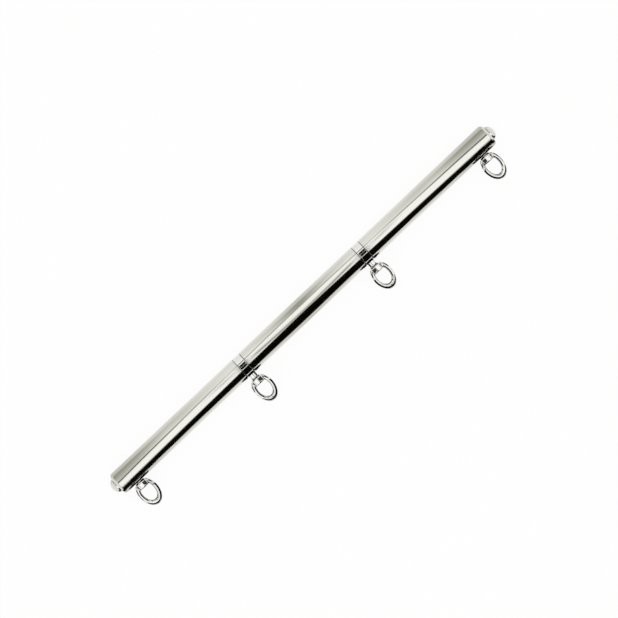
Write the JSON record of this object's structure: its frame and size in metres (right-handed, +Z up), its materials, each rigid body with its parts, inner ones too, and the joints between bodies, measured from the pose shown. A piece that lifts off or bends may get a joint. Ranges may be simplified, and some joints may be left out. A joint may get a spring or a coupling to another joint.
{
  "type": "spreader bar",
  "caption": "Polished steel spreader bar of tubes screwed end to end, with free-turning collars at the joints and swivel eyes for hooks or straps.",
  "frame": {"origin": "on the plane that the bar lies on, below the middle of its bounding box", "axes": "+X along the bar, from the left end section to the right one; -Y the side that the eyes point to; +Z up"},
  "size_m": [0.5302, 0.059, 0.025],
  "materials": {
    "polished_tube": "drawn stainless tube, polished along its length",
    "polished_plug": "turned stainless steel, polished",
    "mirror_collar": "turned steel, mirror polished",
    "plated_eye": "cast steel, bright nickel-chrome plated",
    "turned_pin": "turned steel, satin",
    "turned_steel": "turned steel as machined, lightly oiled",
    "dark_bush": "turned steel, dark phosphated and oiled",
    "black_washer": "black nylon, moulded, satin"
  },
  "bodies": {
    "middle_section": {"middle_tube": "polished_tube", "middle_socket": "turned_steel", "middle_spigot": "turned_steel"},
    "left_bush": {"left_bush": "dark_bush", "left_outer_washer": "black_washer", "left_inner_washer": "black_washer"},
    "left_section": {"left_tube": "polished_tube", "left_spigot": "turned_steel", "left_end_plug": "polished_plug", "left_end_pin": "turned_pin"},
    "left_collar": {"left_collar": "mirror_collar", "left_collar_pin": "turned_pin"},
    "left_collar_eye": {"left_collar_eye": "plated_eye"},
    "left_end_eye": {"left_end_eye": "plated_eye"},
    "right_bush": {"right_bush": "dark_bush", "right_inner_washer": "black_washer", "right_outer_washer": "black_washer"},
    "right_section": {"right_tube": "polished_tube", "right_socket": "turned_steel", "right_end_plug": "polished_plug", "right_end_pin": "turned_pin"},
    "right_collar": {"right_collar": "mirror_collar", "right_collar_pin": "turned_pin"},
    "right_collar_eye": {"right_collar_eye": "plated_eye"},
    "right_end_eye": {"right_end_eye": "plated_eye"}
  },
  "joints": [
    {"name": "left_unscrew_travel", "type": "slide", "parent": "middle_section", "child": "left_bush", "axis": [-1, 0, 0], "range_m": [0, 0.014]},
    {"name": "left_unscrew_turn", "type": "hinge", "parent": "left_bush", "child": "left_section", "pos_m": [-0.0827, 0.01705, 0.0125], "axis": [-1, 0, 0], "range_deg": [0, 2881]},
    {"name": "left_collar_turn", "type": "hinge", "parent": "left_bush", "child": "left_collar", "pos_m": [-0.0827, 0.01705, 0.0125], "axis": [1, 0, 0], "continuous": true},
    {"name": "left_collar_eye_swivel", "type": "hinge", "parent": "left_collar", "child": "left_collar_eye", "pos_m": [-0.0827, 0.00455, 0.0125], "axis": [0, -1, 0], "continuous": true},
    {"name": "left_end_eye_swivel", "type": "hinge", "parent": "left_section", "child": "left_end_eye", "pos_m": [-0.24, 0.00455, 0.0125], "axis": [0, -1, 0], "continuous": true},
    {"name": "right_unscrew_travel", "type": "slide", "parent": "middle_section", "child": "right_bush", "axis": [1, 0, 0], "range_m": [0, 0.014]},
    {"name": "right_unscrew_turn", "type": "hinge", "parent": "right_bush", "child": "right_section", "pos_m": [0.0827, 0.01705, 0.0125], "axis": [1, 0, 0], "range_deg": [0, 2881]},
    {"name": "right_collar_turn", "type": "hinge", "parent": "right_bush", "child": "right_collar", "pos_m": [0.0827, 0.01705, 0.0125], "axis": [1, 0, 0], "continuous": true},
    {"name": "right_collar_eye_swivel", "type": "hinge", "parent": "right_collar", "child": "right_collar_eye", "pos_m": [0.0827, 0.00455, 0.0125], "axis": [0, -1, 0], "continuous": true},
    {"name": "right_end_eye_swivel", "type": "hinge", "parent": "right_section", "child": "right_end_eye", "pos_m": [0.24, 0.00455, 0.0125], "axis": [0, -1, 0], "continuous": true}
  ],
  "couplings": [
    {"joint": "left_unscrew_turn", "follows": "left_unscrew_travel", "rad_per_m": 3590.4},
    {"joint": "right_unscrew_turn", "follows": "right_unscrew_travel", "rad_per_m": 3590.4}
  ]
}
